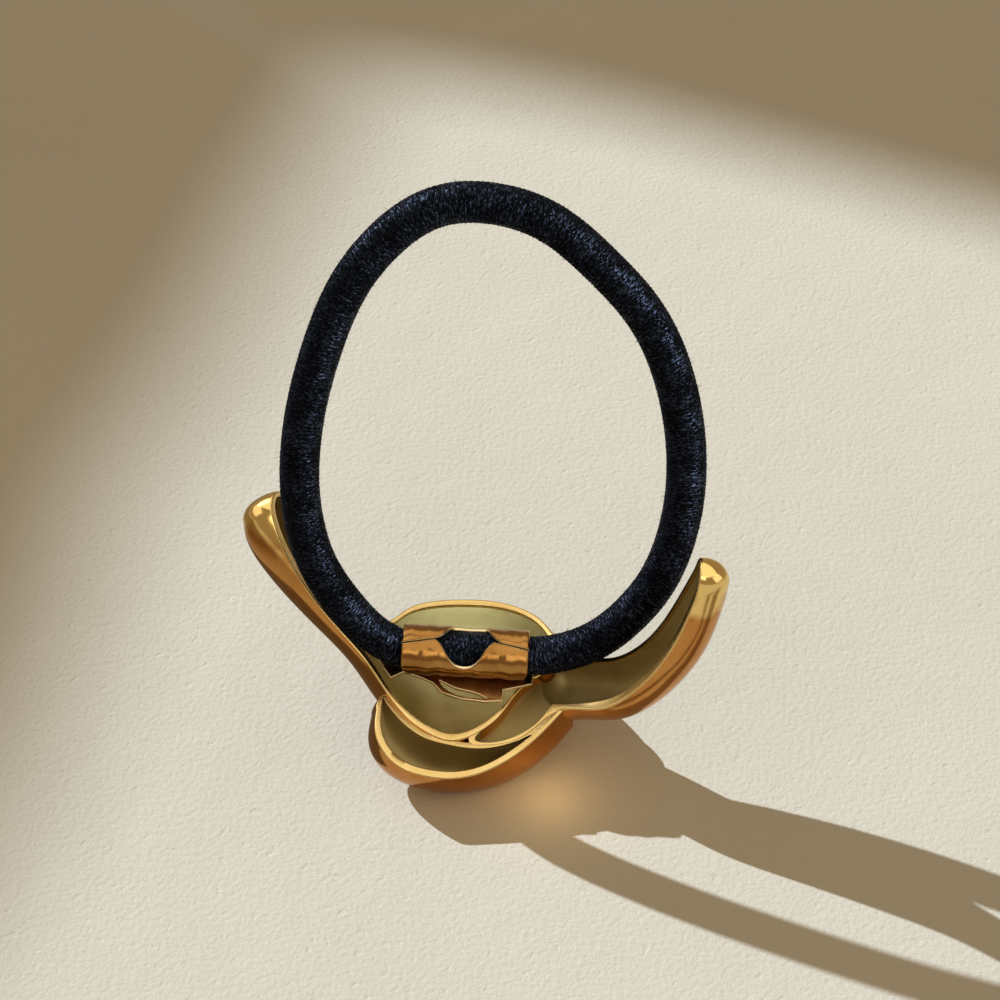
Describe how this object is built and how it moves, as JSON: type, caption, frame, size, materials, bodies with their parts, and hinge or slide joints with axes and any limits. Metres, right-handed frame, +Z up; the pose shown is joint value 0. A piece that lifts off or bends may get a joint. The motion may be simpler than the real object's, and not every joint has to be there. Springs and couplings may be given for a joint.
{
  "type": "metal cuff hair tie",
  "caption": "Hair elastic gripped by a crimp inside a cast, knot-shaped metal cuff that covers the tie when it is worn.",
  "frame": {"origin": "on the floor, at the middle of the footprint's bounding box", "axes": "+X along the crimp, towards the longer arm of the cuff; +Y the way a ponytail passes through the loop, towards the side the loop leans to; +Z up, from the cuff's front on the floor to the top of the loop"},
  "size_m": [0.0558, 0.0342, 0.0663],
  "materials": {
    "cuff_gold": "mirror polished outside, satin inside",
    "plate_gold": "satin, stamped",
    "clamp_gold": "bright, rolled sheet",
    "elastic_navy": "matt wound yarn"
  },
  "bodies": {
    "root": {"knot_cuff": "cuff_gold", "clamp_plate": "plate_gold", "elastic_clamp": "clamp_gold", "elastic_band": "elastic_navy"}
  },
  "joints": []
}
